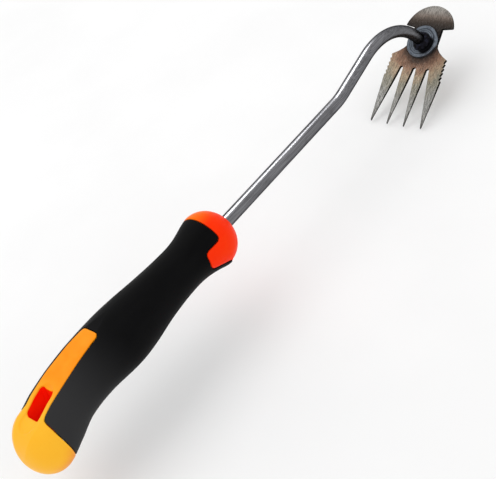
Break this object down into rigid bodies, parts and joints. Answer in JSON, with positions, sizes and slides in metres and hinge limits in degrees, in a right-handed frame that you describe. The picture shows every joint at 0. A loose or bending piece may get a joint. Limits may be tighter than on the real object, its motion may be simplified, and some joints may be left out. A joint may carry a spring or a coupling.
{
  "type": "hand weeder",
  "caption": "Hand weeder: a forked steel head with a half-moon blade on a bent shank, in a two-material grip with a spine strip and a hang slot.",
  "frame": {"origin": "the point where the hang slot's centre line crosses the axis of the shank in the handle", "axes": "+X along the shank from the handle towards the head, +Z towards the handle's spine strip, Y across the tool, which is symmetric about Y = 0"},
  "size_m": [0.3053, 0.0342, 0.0546],
  "materials": {
    "steel": "dark drawn steel rod, satin",
    "core_plastic": "moulded polypropylene",
    "collar_plastic": "moulded polypropylene, semi-gloss",
    "heel_plastic": "moulded polypropylene, semi-gloss",
    "grip_rubber": "soft moulded elastomer, fine matt texture",
    "plate_steel": "stamped manganese steel with brown heat tint",
    "washer_steel": "blue-grey steel",
    "weld_metal": "dark weld bead"
  },
  "bodies": {
    "root": {"shank": "steel", "core_stem": "core_plastic", "nose_collar": "collar_plastic", "heel_cap": "heel_plastic", "grip_sleeve": "grip_rubber", "head_plate": "plate_steel", "weld_washer": "washer_steel", "front_weld": "weld_metal", "rear_weld": "weld_metal"}
  },
  "joints": []
}
